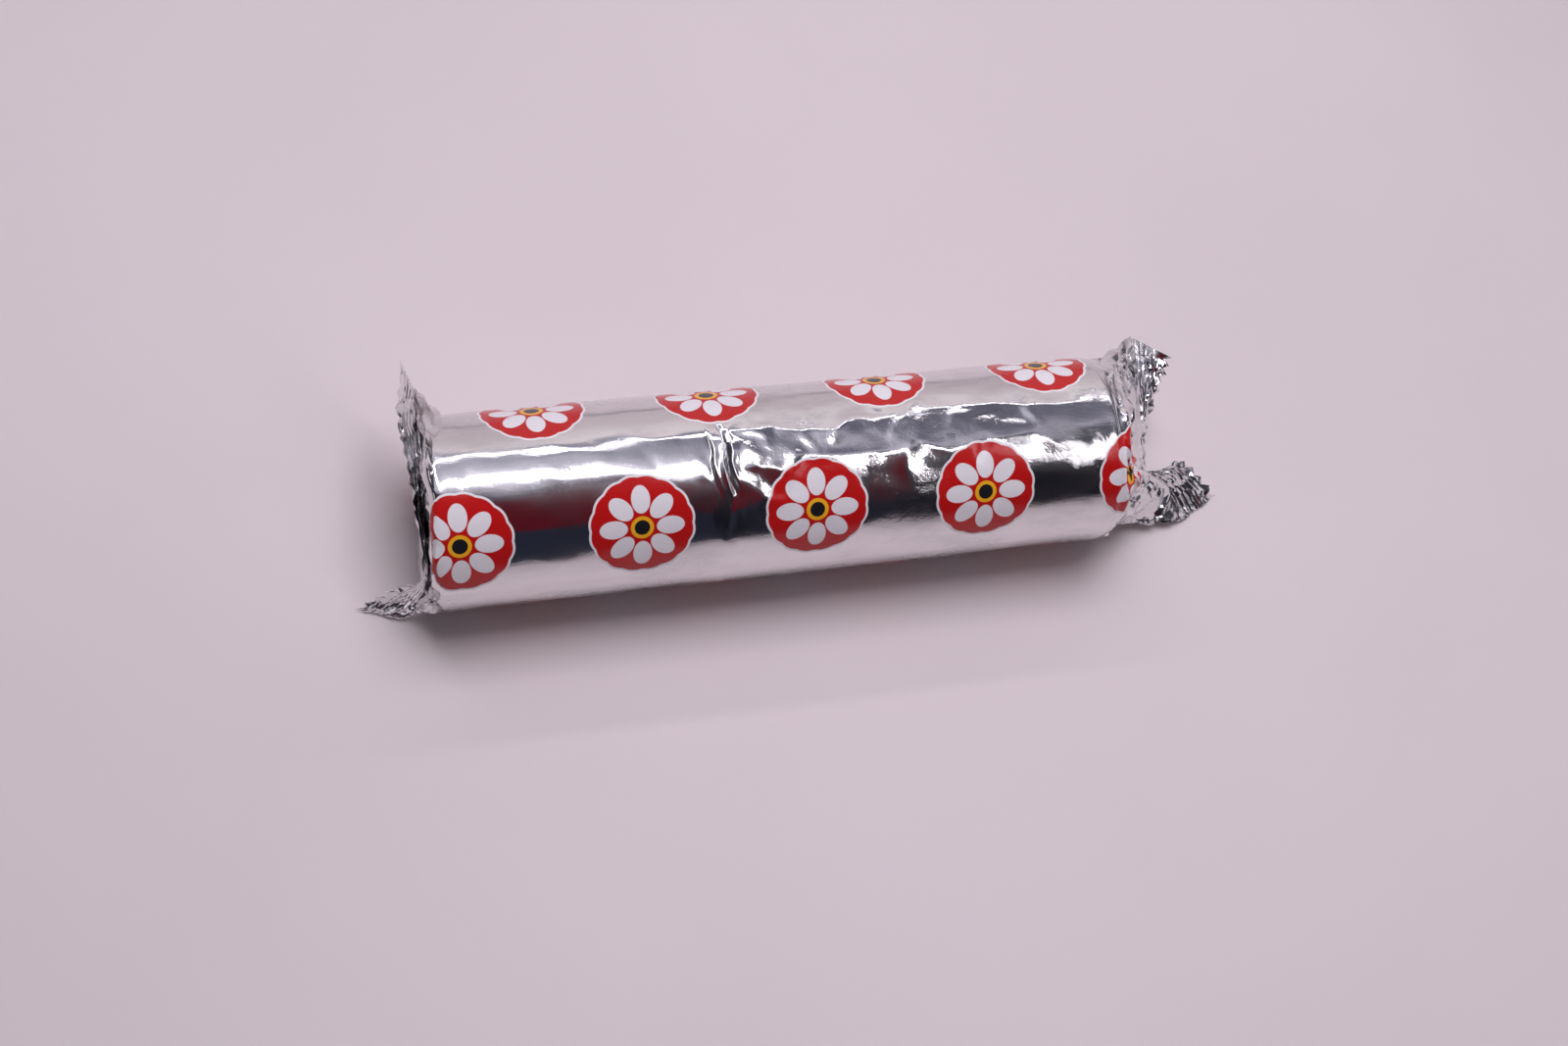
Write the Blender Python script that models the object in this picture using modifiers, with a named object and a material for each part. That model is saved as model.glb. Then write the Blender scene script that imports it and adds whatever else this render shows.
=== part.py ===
# A roll of ten pressed charcoal tablets, sealed in one sheet of printed metallised film.
# The roll lies along X. Its lengthwise seam is folded flat underneath and rests on z = 0, and the
# crimped, saw-toothed seal at each end is bent by handling: one half stands, the other lies down.

import math

import bmesh
import bpy
from mathutils import Vector

mm = 0.001

# Driving dimensions of the tablets
TABLET_COUNT = 10
TABLET_RADIUS = 19.7 * mm
TABLET_THICKNESS = 13.6 * mm
TABLET_CHAMFER = 0.9 * mm
DISH_RIM_RADIUS = 13 * mm
DISH_FLOOR_RADIUS = 10 * mm
DISH_DEPTH = 1.6 * mm
TABLET_SIDES = 32
PIECE_GAP = 0.3 * mm

# Driving dimensions of the film
FILM_WALL = 0.3 * mm
FILM_RADIUS = 20.4 * mm
BODY_LENGTH = 142 * mm
RIM_ROUNDING = 1.2 * mm
SEAM_WIDTH = 11 * mm
SEAM_LAYER = 0.3 * mm
AXIS_HEIGHT = 21 * mm
SEAL_THICKNESS = 0.6 * mm
TEETH = 21
TOOTH_DEPTH = 0.14  # of the seal's width
COLUMNS = 4 * TEETH

# Direction of the seal's back corner around the roll, from +Y towards +Z
SEAL_TURN = math.radians(45)

# A pinch of spare film that stands over the joint between the fourth and fifth tablets
PINCH_X = -15.4 * mm
PINCH_HEIGHT = 1.1 * mm
PINCH_HALF_WIDTH = 2.4 * mm
PINCH_FROM = math.radians(78)
PINCH_TO = math.radians(121)

# Each end seal from its back corner to its front corner: the distance along the seal,
# a point on its root, where the film is pressed together, and a point on its cut edge
LEFT_SEAL = (
    (0, (-75.0, 29.0, 22.0), (-77.8, 31.3, 31.0)),
    (10, (-75.4, 19.0, 26.0), (-80.2, 17.5, 34.5)),
    (21, (-75.6, 8.0, 26.5), (-79.9, 5.0, 35.0)),
    (31, (-76.3, -1.0, 21.0), (-78.9, -5.1, 30.7)),
    (44, (-76.7, -9.9, 9.5), (-78.6, -12.1, 17.5)),
    (54, (-79.5, -13.0, 4.0), (-84.8, -9.9, 6.6)),
    (64, (-83.0, -14.5, 0.9), (-92.0, -11.0, 0.8)),
)
RIGHT_SEAL = (
    (0, (87.5, 25.5, 23.6), (95.6, 18.7, 24.6)),
    (9, (85.6, 16.5, 25.0), (94.2, 15.2, 19.6)),
    (16, (84.7, 9.9, 24.6), (91.8, 11.3, 17.4)),
    (22, (83.9, 4.8, 21.6), (90.5, 7.7, 14.6)),
    (29, (82.8, 0.0, 18.0), (89.3, 3.0, 11.2)),
    (38, (85.2, -2.4, 13.6), (91.5, -2.4, 5.6)),
    (51, (91.4, -4.8, 9.5), (100.1, 0.9, 6.4)),
    (58, (95.6, -7.2, 5.0), (105.2, -2.4, 3.2)),
    (64, (99.1, -11.5, 0.9), (108.5, -6.5, 0.9)),
)
# How far the film runs on straight past the rim before it turns in to the seal
LEFT_SHOULDER = 3.4 * mm
RIGHT_SHOULDER = 8 * mm
# The folds from the rim to the seal's back and front corners bend towards these points instead
LEFT_FOLDS = ((-72.8, 25.0, 27.5), (-76.0, -14.8, 1.5))
RIGHT_FOLDS = ((79.5, 20.0, 29.5), (83.0, -15.0, 1.4))
# A larger number keeps the folds closer to the corners
FOLD_SHARPNESS = 4
# Beside the back corner the upper film bulges out and the slack lower film hangs, by these offsets
LEFT_BULGES = ((-3.5, 0, 0), (0.5, 2, -9))
RIGHT_BULGES = ((0, 0, 0), (0, 0, -4))
SHOULDER_STEPS = (0.16, 0.36, 0.6, 0.82)
SEAL_STEPS = (0.0, 0.5, 1.0)

FILM_COLOUR = (0.80, 0.80, 0.83, 1)
CHARCOAL_COLOUR = (0.025, 0.024, 0.023, 1)


def clear_scene():
    for obj in list(bpy.data.objects):
        bpy.data.objects.remove(obj, do_unlink=True)


def new_collection(name):
    collection = bpy.data.collections.new(name)
    bpy.context.scene.collection.children.link(collection)
    return collection


def principled(name, colour, roughness, metallic):
    material = bpy.data.materials.new(name)
    material.use_nodes = True
    shader = material.node_tree.nodes["Principled BSDF"]
    shader.inputs["Base Color"].default_value = colour
    shader.inputs["Roughness"].default_value = roughness
    shader.inputs["Metallic"].default_value = metallic
    material.diffuse_color = colour
    return material


def new_object(name, mesh, collection, material=None):
    obj = bpy.data.objects.new(name, mesh)
    collection.objects.link(obj)
    if material:
        obj.data.materials.append(material)
    return obj


def as_cutter(obj):
    obj.hide_render = True
    obj.display_type = "WIRE"


def cut(target, cutter):
    boolean = target.modifiers.new("cut_" + cutter.name, "BOOLEAN")
    boolean.operation = "DIFFERENCE"
    boolean.solver = "EXACT"
    boolean.object = cutter


def smooth_through(stations, points, distance):
    """The point at this distance on a smooth curve through the points, which lie at the stations."""
    last = len(stations) - 1
    i = min(max(sum(s <= distance for s in stations) - 1, 0), last - 1)
    slopes = []
    for j in (i, i + 1):
        before, after = max(j - 1, 0), min(j + 1, last)
        slopes.append((points[after] - points[before]) / (stations[after] - stations[before]))
    span = stations[i + 1] - stations[i]
    t = (distance - stations[i]) / span
    return (
        points[i] * (2 * t**3 - 3 * t**2 + 1)
        + points[i + 1] * (3 * t**2 - 2 * t**3)
        + slopes[0] * span * (t**3 - 2 * t**2 + t)
        + slopes[1] * span * (t**3 - t**2)
    )


def column_angle(column):
    """Columns run round the film from the seal's back corner, over the top, to the front corner and back."""
    return SEAL_TURN + 2 * math.pi * column / COLUMNS


def along_seal(column):
    """How far along the seal a column ends, as a share of its length. Both layers share it."""
    return min(column, COLUMNS - column) / (COLUMNS / 2)


def body_point(x, angle, radius):
    """A point of the round body, pressed flat where the folded seam lies under it."""
    y = radius * math.cos(angle)
    z = AXIS_HEIGHT + radius * math.sin(angle)
    if math.sin(angle) < 0 and abs(y) < SEAM_WIDTH / 2:
        z = 0
    return Vector((x, y, z))


def body_rings():
    half = BODY_LENGTH / 2
    pinch = (-PINCH_HALF_WIDTH, -PINCH_HALF_WIDTH / 3, PINCH_HALF_WIDTH / 3, PINCH_HALF_WIDTH)
    raised = (0, 1, 0.35, 0)
    stations = [(-half, -RIM_ROUNDING * 0.45, 0), (-half + RIM_ROUNDING, 0, 0)]
    stations += [(PINCH_X + x, 0, PINCH_HEIGHT * share) for x, share in zip(pinch, raised)]
    stations += [(half - RIM_ROUNDING, 0, 0), (half, -RIM_ROUNDING * 0.45, 0)]
    rings = []
    for x, inset, ridge in stations:
        ring = []
        for column in range(COLUMNS):
            angle = column_angle(column)
            across = (angle - PINCH_FROM) / (PINCH_TO - PINCH_FROM)
            lift = ridge * math.sin(math.pi * across) ** 0.5 if 0 < across < 1 else 0
            ring.append(body_point(x, angle, FILM_RADIUS + inset + lift))
        rings.append(ring)
    return rings


def seal_lines(seal):
    """The seal's root and cut edge as functions of the share of its length."""
    stations = [row[0] / seal[-1][0] for row in seal]
    roots = [Vector(row[1]) * mm for row in seal]
    edges = [Vector(row[2]) * mm for row in seal]

    def root(share):
        return smooth_through(stations, roots, share)

    def edge(share):
        return smooth_through(stations, edges, share)

    return root, edge


def seal_point(root, edge, column, step, side):
    """A point of the crimped band, on the layer of its column, with every second column cut back at the edge."""
    share = along_seal(column)
    if step == 1 and column % 2:
        step -= TOOTH_DEPTH
    middle = root(share).lerp(edge(share), step)
    nearby = 0.01
    low, high = max(share - nearby, 0), min(share + nearby, 1)
    along = root(high).lerp(edge(high), step) - root(low).lerp(edge(low), step)
    outward = (edge(share) - root(share)).normalized()
    if step == 0:
        # At its root the band turns from the way that the film comes in
        outward += Vector((side, 0, 0))
    normal = along.cross(outward).normalized()
    if column in (0, COLUMNS // 2):
        return middle
    layer = 1 if column < COLUMNS // 2 else -1
    return middle + normal * side * layer * SEAL_THICKNESS / 2


def end_rings(rim, seal, shoulder, folds, bulges, side):
    """Rings from the rim out to the cut edge. side is -1 at the left end and 1 at the right."""
    root, edge = seal_lines(seal)
    rings = []
    for t in SHOULDER_STEPS:
        ring = []
        for column, start in enumerate(rim):
            end = seal_point(root, edge, column, 0, side)
            share = along_seal(column)
            fold = Vector(folds[share > 0.5]) * mm
            folded = abs(math.cos(math.pi * share)) ** FOLD_SHARPNESS
            bend = (start + Vector((side * shoulder, 0, 0))).lerp(fold, folded)
            bulge = Vector(bulges[column > COLUMNS // 2]) * mm
            bend += bulge * math.sin(math.pi * share) ** 0.5 * (1 - share) ** 2
            ring.append(start * (1 - t) ** 2 + bend * 2 * t * (1 - t) + end * t**2)
        rings.append(ring)
    for step in SEAL_STEPS:
        rings.append([seal_point(root, edge, column, step, side) for column in range(COLUMNS)])
    return rings


def bag_mesh(name, rings):
    """Skins the rings into one closed bag. Its two end rings are flat loops, closed from layer to layer."""
    bm = bmesh.new()
    verts = [[bm.verts.new(point) for point in ring] for ring in rings]
    for first, second in zip(verts, verts[1:]):
        for column in range(COLUMNS):
            after = (column + 1) % COLUMNS
            bm.faces.new((first[column], first[after], second[after], second[column]))
    for loop in (verts[0], verts[-1]):
        for column in range(COLUMNS // 2):
            corners = (loop[column], loop[column + 1], loop[-column - 1], loop[-column])
            bm.faces.new(list(dict.fromkeys(corners)))
    bmesh.ops.recalc_face_normals(bm, faces=bm.faces)
    mesh = bpy.data.meshes.new(name)
    bm.to_mesh(mesh)
    bm.free()
    return mesh


def make_wrapper(collection, cutters):
    body = body_rings()
    left = end_rings(body[0], LEFT_SEAL, LEFT_SHOULDER, LEFT_FOLDS, LEFT_BULGES, -1)
    right = end_rings(body[-1], RIGHT_SEAL, RIGHT_SHOULDER, RIGHT_FOLDS, RIGHT_BULGES, 1)
    rings = left[::-1] + body + right
    mesh = bag_mesh("wrapper", rings)
    mesh.shade_smooth()
    mesh.set_sharp_from_angle(angle=math.radians(35))
    film = principled("metallised_film", FILM_COLOUR, 0.12, 1)
    wrapper = new_object("wrapper", mesh, collection, film)
    for cutter in (make_cavity(cutters), *make_seam_slits(cutters)):
        cut(wrapper, cutter)
    return wrapper


def make_cavity(cutters):
    """The round space that the tablets fill."""
    bm = bmesh.new()
    bmesh.ops.create_cone(
        bm,
        cap_ends=True,
        segments=COLUMNS // 2,
        radius1=FILM_RADIUS - FILM_WALL,
        radius2=FILM_RADIUS - FILM_WALL,
        depth=BODY_LENGTH - 2 * FILM_WALL,
    )
    mesh = bpy.data.meshes.new("cavity")
    bm.to_mesh(mesh)
    bm.free()
    cavity = new_object("cavity", mesh, cutters)
    cavity.location = (0, 0, AXIS_HEIGHT)
    cavity.rotation_euler = (0, math.pi / 2, 0)
    as_cutter(cavity)
    return cavity


def make_box(name, low, high, collection):
    bm = bmesh.new()
    bmesh.ops.create_cube(bm, size=1)
    for vert in bm.verts:
        vert.co = Vector(l + (h - l) * (c + 0.5) for l, h, c in zip(low, high, vert.co))
    mesh = bpy.data.meshes.new(name)
    bm.to_mesh(mesh)
    bm.free()
    return new_object(name, mesh, collection)


def make_seam_slits(cutters):
    """The seam's two layers stand a slit apart: in under the folded flap, then up at its root."""
    half = BODY_LENGTH / 2 - 4 * mm
    root = -SEAM_WIDTH / 2 + 1.2 * mm
    bottom, top = SEAM_LAYER, 2 * SEAM_LAYER
    under = make_box("slit_under_flap", (-half, root, bottom), (half, SEAM_WIDTH, top), cutters)
    up = make_box("slit_at_root", (-half, root, bottom), (half, root + SEAM_LAYER, 2.4 * mm), cutters)
    as_cutter(under)
    as_cutter(up)
    return under, up


def tablet_profile():
    """Half outline of a tablet: thickness along X, radius along Y, from the flat back round to the dish."""
    thick, radius, chamfer = TABLET_THICKNESS, TABLET_RADIUS, TABLET_CHAMFER
    outline = (
        (thick, 0),
        (thick, radius - chamfer),
        (thick - chamfer, radius),
        (chamfer, radius),
        (0, radius - chamfer),
        (0, DISH_RIM_RADIUS),
        (DISH_DEPTH, DISH_FLOOR_RADIUS),
        (DISH_DEPTH, 0),
    )
    mesh = bpy.data.meshes.new("tablet_profile")
    edges = [(i, i + 1) for i in range(len(outline) - 1)]
    mesh.from_pydata([(x, y, 0) for x, y in outline], edges, [])
    return mesh


def make_tablets(collection):
    profile = tablet_profile()
    profile.materials.append(principled("pressed_charcoal", CHARCOAL_COLOUR, 0.9, 0))
    start = -BODY_LENGTH / 2 + FILM_WALL + PIECE_GAP
    tablets = []
    for i in range(TABLET_COUNT):
        tablet = new_object(f"tablet_{i + 1:02d}", profile, collection)
        tablet.location = (start + i * (TABLET_THICKNESS + PIECE_GAP), 0, AXIS_HEIGHT)
        screw = tablet.modifiers.new("turn", "SCREW")
        screw.axis = "X"
        screw.steps = screw.render_steps = TABLET_SIDES
        screw.use_merge_vertices = True
        screw.merge_threshold = 0.00001
        screw.use_smooth_shade = True
        tablets.append(tablet)
    return tablets


def main():
    clear_scene()
    parts = new_collection("charcoal_tablet_roll")
    cutters = new_collection("cutters")
    roll = bpy.data.objects.new("roll", None)
    parts.objects.link(roll)
    for piece in (make_wrapper(parts, cutters), *make_tablets(parts)):
        piece.parent = roll


main()
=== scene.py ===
import math

import bpy
import numpy as np
from mathutils import Matrix, Vector
from mathutils.bvhtree import BVHTree
from mathutils.geometry import delaunay_2d_cdt


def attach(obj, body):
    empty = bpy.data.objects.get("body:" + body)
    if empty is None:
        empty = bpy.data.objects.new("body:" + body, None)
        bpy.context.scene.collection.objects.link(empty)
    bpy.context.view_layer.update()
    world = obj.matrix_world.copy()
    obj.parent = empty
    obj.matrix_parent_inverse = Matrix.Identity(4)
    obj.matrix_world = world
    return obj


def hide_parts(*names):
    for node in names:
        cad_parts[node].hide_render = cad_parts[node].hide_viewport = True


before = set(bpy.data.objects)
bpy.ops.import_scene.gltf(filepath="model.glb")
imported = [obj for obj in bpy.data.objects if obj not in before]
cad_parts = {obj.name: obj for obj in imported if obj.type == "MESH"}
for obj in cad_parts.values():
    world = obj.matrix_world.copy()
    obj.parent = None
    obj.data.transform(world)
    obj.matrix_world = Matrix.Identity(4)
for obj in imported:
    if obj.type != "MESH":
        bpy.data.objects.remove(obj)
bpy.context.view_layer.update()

mm = 0.001

# The sheet of film, laid out flat and then rolled round the tablets. Lengths in millimetres.
film = {
    "radius": 20.4,
    "bodyLength": 142.0,
    "axisHeight": 21.0,
    "sealTurn": 45.0,  # degrees from the back towards the top, where the end seals' first corner lies
    "columns": 252,  # around, 12 for each tooth of the seals
    "rimZone": 3,  # mm in from each rim where the body has closer rows
    "pinchZone": (-19.8, -12.8),  # where the pinch needs closer rows
    "bodyRows": (9, 62, 45, 101, 9),  # in each stretch of the body, from left to right
    "endRowStep": 0.56,
    "sealRows": 31,
    "sealWidth": 10.5,
    "sealGap": 0.16,
    "teeth": 21,
    "toothDepth": 1.5,
    "toothRoot": 3,  # how far in from the cut edge the teeth begin to shape the film
    "ribPitch": 1.45,
    "ribStart": (0.3, 1.2),  # from the seal's root, where the ribs rise
    "ribStop": (6.6, 7.4),  # and where they end
    "rimSquash": 0.45,  # of the rim's rounding, how much narrower the roll gets there
    "seamHalfWidth": 5.5,
    "seamBlend": 0.5,
    "seamHeight": 0.06,
    "foldSharpness": 4,  # how closely the ends gather towards the seals' two corners
}

# Seal: distance along it, a point on its root and one on its cut edge, from the back corner to the front one
leftEnd = {
    "side": -1,
    "length": 24.0,  # of film from the rim to the seal's root
    "seal": (
        (0, (-75.0, 29.0, 22.0), (-77.8, 31.3, 31.0)),
        (10, (-75.4, 19.0, 26.0), (-80.2, 17.5, 34.5)),
        (21, (-75.6, 8.0, 26.5), (-79.9, 5.0, 35.0)),
        (31, (-76.3, -1.0, 21.0), (-78.9, -5.1, 30.7)),
        (44, (-76.7, -9.9, 9.5), (-78.6, -12.1, 17.5)),
        (54, (-79.5, -13.0, 4.0), (-84.8, -9.9, 6.6)),
        (64, (-83.0, -14.5, 0.9), (-92.0, -11.0, 0.8)),
    ),
    "rimRounding": 0.0,
    "straight": 4.0,  # of film that goes straight on past the rim
    "pillow": 10.0,  # distance past the rim over which the film keeps its rounded shape
    "shoulder": ((0, 2.0), (0.25, 3.0), (0.5, 4.5), (0.75, 3.0), (1, 1.5)),  # how far it bulges further
    "folds": ((-72.8, 25.0, 27.5), (-76.0, -14.8, 1.5)),  # where the film gathers at each corner
    "bulges": ((-3.5, 0, 0), (0.5, 2, -9)),  # of the upper layer and the lower one
    "creases": ((3.6, 0.45), (1.5, 0.14)),  # facets of crumpled film: size and depth
    "sealCreases": (1.9, 0.18, 0.24),  # size, and depth at the seal's root and at its cut edge
    "ribHeight": 0.12,
}
rightEnd = {
    "side": 1,
    "length": 29.0,
    "seal": (
        (0, (87.5, 25.5, 23.6), (95.6, 18.7, 24.6)),
        (9, (85.6, 16.5, 25.0), (94.2, 15.2, 19.6)),
        (16, (84.7, 9.9, 24.6), (91.8, 11.3, 17.4)),
        (22, (83.9, 4.8, 21.6), (90.5, 7.7, 14.6)),
        (29, (82.8, 0.0, 18.0), (89.3, 3.0, 11.2)),
        (38, (85.2, -2.4, 13.6), (91.5, -2.4, 5.6)),
        (51, (91.4, -4.8, 9.5), (100.1, 0.9, 6.4)),
        (58, (95.6, -7.2, 5.0), (105.2, -2.4, 3.2)),
        (64, (99.1, -11.5, 0.9), (108.5, -6.5, 0.9)),
    ),
    "rimRounding": 1.3,
    "straight": 0.8,
    "pillow": 3.0,
    "shoulder": ((0, 8.0), (1, 8.0)),
    "folds": ((79.5, 20.0, 29.5), (83.0, -15.0, 1.4)),
    "bulges": ((0, 0, 0), (0, 0, -4)),
    "creases": ((4.4, 0.85), (1.8, 0.18)),
    "sealCreases": (2.1, 0.12, 0.42),
    "ribHeight": 0.17,
}


def deselectAll():
    if bpy.context.mode != "OBJECT":
        bpy.ops.object.mode_set(mode="OBJECT")
    bpy.ops.object.select_all(action="DESELECT")


def smoothStep(low, high, value):
    t = np.clip((value - low) / (high - low), 0, 1)
    return t * t * (3 - 2 * t)


def unit(vectors):
    return vectors / np.linalg.norm(vectors, axis=-1, keepdims=True)


def throughStations(stations, points, share):
    # Places at these shares of the smooth curve that passes each point at its station
    share = np.asarray(share, float)
    last = len(stations) - 1
    i = np.clip(np.searchsorted(stations, share, side="right") - 1, 0, last - 1)
    before = np.maximum(np.arange(last + 1) - 1, 0)
    after = np.minimum(np.arange(last + 1) + 1, last)
    slopes = (points[after] - points[before]) / (stations[after] - stations[before])[:, None]
    span = (stations[i + 1] - stations[i])[:, None]
    t = ((share - stations[i]) / span[:, 0])[:, None]
    return (
        points[i] * (2 * t**3 - 3 * t**2 + 1)
        + points[i + 1] * (3 * t**2 - 2 * t**3)
        + slopes[i] * span * (t**3 - 2 * t**2 + t)
        + slopes[i + 1] * span * (t**3 - t**2)
    )


def sealSurface(end, share, across):
    # Points of the seal's middle plane and its normals. across runs from 0 at the root to 1 at the cut edge
    rows = end["seal"]
    stations = np.array([row[0] for row in rows], float) / rows[-1][0]
    roots = np.array([row[1] for row in rows], float)
    edges = np.array([row[2] for row in rows], float)
    near = 0.01
    low, high = np.maximum(share - near, 0), np.minimum(share + near, 1)
    root = throughStations(stations, roots, share)
    edge = throughStations(stations, edges, share)
    rootStep = throughStations(stations, roots, high) - throughStations(stations, roots, low)
    edgeStep = throughStations(stations, edges, high) - throughStations(stations, edges, low)
    outward = unit(edge - root)
    points, normals = [], []
    for part in across:
        lean = outward + np.array((end["side"], 0, 0)) * max(0, 1 - 6 * part)
        along = rootStep * (1 - part) + edgeStep * part
        points.append(root * (1 - part) + edge * part)
        normals.append(unit(np.cross(along, lean)) * end["side"])
    return np.array(points), np.array(normals)


def filmRows():
    # Stations along the film: negative and positive distances from its middle, in mm
    half = film["bodyLength"] / 2
    ends = []
    for end in (leftEnd, rightEnd):
        seal = half + end["length"]
        outer = np.linspace(seal, seal + film["sealWidth"], film["sealRows"])[1:]
        shoulder = np.linspace(half, seal, round(end["length"] / film["endRowStep"]) + 1)[1:]
        ends.append(np.concatenate((shoulder, outer)))
    rim = film["rimZone"]
    stops = (-half, -half + rim, *film["pinchZone"], half - rim, half)
    body = [np.linspace(a, b, rows)[:-1] for a, b, rows in zip(stops, stops[1:], film["bodyRows"])]
    return np.concatenate((-ends[0][::-1], *body, (half,), ends[1]))


def columnShare(columns):
    # 0 at the seals' back corner, 1 at their front one
    around = film["columns"]
    return np.minimum(columns, around - columns) / (around / 2)


def bodyPoints(stations, angles, lift):
    # lift is the height of the film over the plain roll, in mm, for each row and column
    half = film["bodyLength"] / 2
    fromRim = half - np.abs(stations)
    rounding = np.where(stations < 0, leftEnd["rimRounding"], rightEnd["rimRounding"])
    rounded = rounding - np.sqrt(np.maximum(rounding**2 - (rounding - fromRim) ** 2, 0))
    inset = np.where(fromRim < rounding, rounded, 0)
    radius = film["radius"] - film["rimSquash"] * inset[:, None] + lift
    y = radius * np.cos(angles)
    z = film["axisHeight"] + radius * np.sin(angles)
    # The lengthwise seam underneath is pressed flat
    edge, blend = film["seamHalfWidth"], film["seamBlend"]
    seam = (np.sin(angles) < 0) * (1 - smoothStep(edge - blend, edge + blend, np.abs(y)))
    z = z * (1 - seam) + film["seamHeight"] * seam
    x = np.broadcast_to(stations[:, None], y.shape)
    return np.stack((x, y, z), axis=-1)


def shoulderPoints(end, rim, columns, distances):
    # The plain shape of the film between a rim and its seal
    share = columnShare(columns)
    side = end["side"]
    upper = columns <= film["columns"] // 2
    root, normal = sealSurface(end, share, (0.0,))
    layer = np.where(upper, 1, -1)[:, None]
    finish = root[0] + normal[0] * layer * film["sealGap"] / 2
    folds = np.array(end["folds"], float)
    folded = (np.abs(np.cos(np.pi * share)) ** film["foldSharpness"])[:, None]
    outward = np.array((side, 0, 0))
    straight = end["straight"]
    start = rim + straight * (1 - folded**4) * outward
    bend = start + np.interp(share, *np.transpose(end["shoulder"]))[:, None] * outward
    bend = bend * (1 - folded) + folds[(share > 0.5).astype(int)] * folded
    bulges = np.array(end["bulges"], float)[np.where(upper, 0, 1)]
    bend = bend + bulges * (np.sin(np.pi * share) ** 0.5 * (1 - share) ** 2)[:, None]
    rows = []
    for distance in distances:
        t = max(0, (distance - straight) / (end["length"] - straight))
        row = start * (1 - t) ** 2 + bend * 2 * t * (1 - t) + finish * t**2
        rows.append(rim + (row - rim) * min(1, distance / straight))
    return np.array(rows)


def softNoise(rng, shape, rowWidth, columnWidth):
    # Random heights blurred to this width, in rows and columns, with a spread of 1
    waves = np.fft.fft2(rng.normal(size=shape), axes=(0, 1))
    f, g = np.fft.fftfreq(shape[0])[:, None], np.fft.fftfreq(shape[1])[None, :]
    blur = np.exp(-2 * math.pi**2 * ((rowWidth * f) ** 2 + (columnWidth * g) ** 2))
    blur = blur.reshape(blur.shape + (1,) * (len(shape) - 2))
    noise = np.real(np.fft.ifft2(waves * blur, axes=(0, 1)))
    return noise / noise.std()


def creasedHeights(rng, along, around, size, loop=None):
    # Heights, with a spread of 1, of flat facets of about this size that meet in sharp folds
    spare = 2 * size
    low, high = along.min() - spare, along.max() + spare
    first, last = (0, loop) if loop else (around.min() - spare, around.max() + spare)
    rows, columns = round((high - low) / size) + 1, round((last - first) / size)
    step = (last - first) / columns
    inRow = first + step * (np.arange(columns) + 0.5)
    x, y = np.meshgrid(low + size * np.arange(rows), inRow, indexing="ij")
    moved = rng.uniform(-0.42, 0.42, (rows * columns, 2)) * size
    spots = np.stack((x, y), axis=-1).reshape(-1, 2) + moved
    heights = rng.normal(size=len(spots))
    if loop:
        spots = np.concatenate([spots + (0, turn * loop) for turn in (-1, 0, 1)])
        heights = np.tile(heights, 3)
        near = (spots[:, 1] > -3 * size) & (spots[:, 1] < loop + 3 * size)
        spots, heights = spots[near], heights[near]
    found = delaunay_2d_cdt([Vector(spot) for spot in spots], [], [], 0, 1e-6)
    corners = [(place.x, place.y, heights[source[0]]) for place, source in zip(found[0], found[3])]
    facets = BVHTree.FromPolygons(corners, found[2])
    over = 9  # higher than any facet
    down = Vector((0, 0, -1))
    result = np.zeros((len(along), len(around)))
    for i, u in enumerate(along):
        for j, v in enumerate(around):
            place = facets.ray_cast(Vector((u, v, over)), down)[0]
            result[i, j] = place.z if place else 0
    return result


def toothRetreat(columns):
    # How far the saw-toothed cut edge lies behind the teeth's tips
    around = film["columns"] / 2 / film["teeth"]
    phase = np.mod(columns, around) / (around / 2)
    return film["toothDepth"] * (1 - np.abs(1 - phase))


def bandPoints(end, columns, distances):
    # The two layers of a seal, and how far each point is from the seal's root along the film
    share = columnShare(columns)
    width = film["sealWidth"]
    half = film["columns"] // 2
    layer = np.where(columns <= half, 1, -1)
    size, rootDepth, edgeDepth = end["sealCreases"]
    spread = np.arange(half + 1) * (math.pi * film["radius"] / half)
    creased = creasedHeights(np.random.default_rng(11), distances, spread, size)
    (root, edge), (rootNormal, edgeNormal) = sealSurface(end, share, (0.0, 1.0))
    retreat = toothRetreat(columns)
    corners = np.minimum(1, np.minimum(share, 1 - share) * 60)
    points, reaches = [], []
    for number, distance in enumerate(distances):
        # Both layers of the seal bend together
        depth = (rootDepth + (edgeDepth - rootDepth) * distance / width) * smoothStep(0, 1, distance)
        bend = np.interp(share * half, np.arange(half + 1), creased[number])
        bend = bend * depth * np.minimum(1, share * 12)
        reach = distance - retreat * smoothStep(width - film["toothRoot"], width, distance)
        part = (reach / width)[:, None]
        middle = root * (1 - part) + edge * part
        normal = unit(rootNormal * (1 - part) + edgeNormal * part)
        ribbed = smoothStep(*film["ribStart"], distance) * (1 - smoothStep(*film["ribStop"], distance))
        rib = end["ribHeight"] * math.sin(2 * math.pi * distance / film["ribPitch"]) * ribbed
        gap = film["sealGap"] / 2 * (1 - smoothStep(width - 0.5, width, distance))
        points.append(middle + normal * (rib + bend + layer * gap * corners)[:, None])
        reaches.append(reach)
    return np.array(points), np.array(reaches)


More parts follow.
